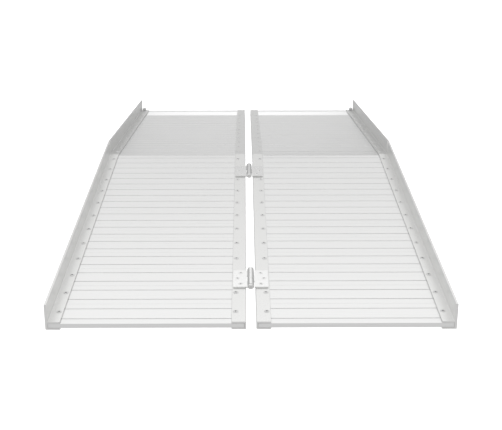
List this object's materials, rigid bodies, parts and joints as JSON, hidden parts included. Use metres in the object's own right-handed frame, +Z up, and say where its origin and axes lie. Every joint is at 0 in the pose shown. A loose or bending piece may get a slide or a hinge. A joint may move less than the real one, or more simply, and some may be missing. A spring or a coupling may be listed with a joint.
{
  "type": "folding wheelchair ramp",
  "caption": "Portable aluminium wheelchair ramp: two plank decks with raised curbs, bent once along their length, joined by butt hinges so that they fold deck to deck.",
  "frame": {"origin": "middle of the ramp's footprint, on the floor", "axes": "+Y from the steeper lower end to the upper end that carries the lip, +X to the right of a user who walks up, +Z up"},
  "size_m": [0.72, 1.8302, 0.1164],
  "materials": {
    "rail": "satin mill aluminium extrusion",
    "deck": "satin mill aluminium extrusion, finely ribbed",
    "lip": "smooth bright sheet aluminium",
    "hinge": "bright zinc-plated steel",
    "fastener": "dull zinc-plated steel"
  },
  "bodies": {
    "left_half": {"left_plank_13": "deck", "left_plank_14": "deck", "left_plank_15": "deck", "left_plank_16": "deck", "left_plank_17": "deck", "left_plank_18": "deck", "left_plank_19": "deck", "left_plank_20": "deck", "left_plank_21": "deck", "left_plank_22": "deck", "left_lip": "lip", "left_lip_stud": "fastener", "left_cap_nut": "fastener", "left_outer_rail": "rail", "left_inner_rail": "rail", "left_plank_01": "deck", "left_plank_02": "deck", "left_plank_03": "deck", "left_plank_04": "deck", "left_plank_05": "deck", "left_plank_06": "deck", "left_plank_07": "deck", "left_plank_08": "deck", "left_plank_09": "deck", "left_plank_10": "deck", "left_plank_11": "deck", "left_plank_12": "deck", "lower_hinge_left_leaf": "hinge", "lower_hinge_pin": "fastener", "upper_hinge_left_leaf": "hinge", "upper_hinge_pin": "fastener"},
    "right_half": {"right_plank_13": "deck", "right_plank_14": "deck", "right_plank_15": "deck", "right_plank_16": "deck", "right_plank_17": "deck", "right_plank_18": "deck", "right_plank_19": "deck", "right_plank_20": "deck", "right_plank_21": "deck", "right_plank_22": "deck", "right_lip": "lip", "right_lip_stud": "fastener", "right_cap_nut": "fastener", "right_outer_rail": "rail", "right_inner_rail": "rail", "right_plank_01": "deck", "right_plank_02": "deck", "right_plank_03": "deck", "right_plank_04": "deck", "right_plank_05": "deck", "right_plank_06": "deck", "right_plank_07": "deck", "right_plank_08": "deck", "right_plank_09": "deck", "right_plank_10": "deck", "right_plank_11": "deck", "right_plank_12": "deck", "lower_hinge_right_leaf": "hinge", "upper_hinge_right_leaf": "hinge"}
  },
  "joints": [
    {"name": "fold", "type": "hinge", "parent": "left_half", "child": "right_half", "pos_m": [0, -0.74043, 0.03186], "axis": [0, -0.9974, -0.0723], "range_deg": [0, 170.2]}
  ]
}
